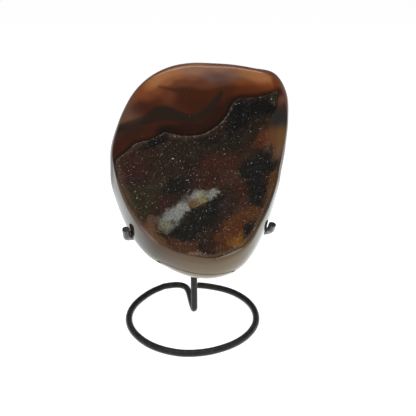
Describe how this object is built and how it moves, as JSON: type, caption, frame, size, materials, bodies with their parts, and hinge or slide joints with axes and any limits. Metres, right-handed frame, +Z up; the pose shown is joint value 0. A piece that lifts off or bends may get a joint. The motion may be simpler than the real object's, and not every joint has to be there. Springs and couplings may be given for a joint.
{
  "type": "druzy agate on a wire display stand",
  "caption": "Polished banded agate with a pocket of small quartz crystals, leaning back in two wire hooks on a bent-wire ring stand.",
  "frame": {"origin": "middle of the whole object's footprint box, on the surface it stands on", "axes": "+Z up, the stone's ground face looks along -Y and a little up, +X is the viewer's right"},
  "size_m": [0.1042, 0.089, 0.168],
  "materials": {
    "agate": "polished, banded brown and orange agate",
    "quartz_druse": "sparkling crust of small dark crystals",
    "black_wire": "satin black on steel wire"
  },
  "bodies": {
    "root": {"agate": "agate", "druse_crust": "quartz_druse", "base_wire": "black_wire", "cradle_wire": "black_wire"}
  },
  "joints": []
}
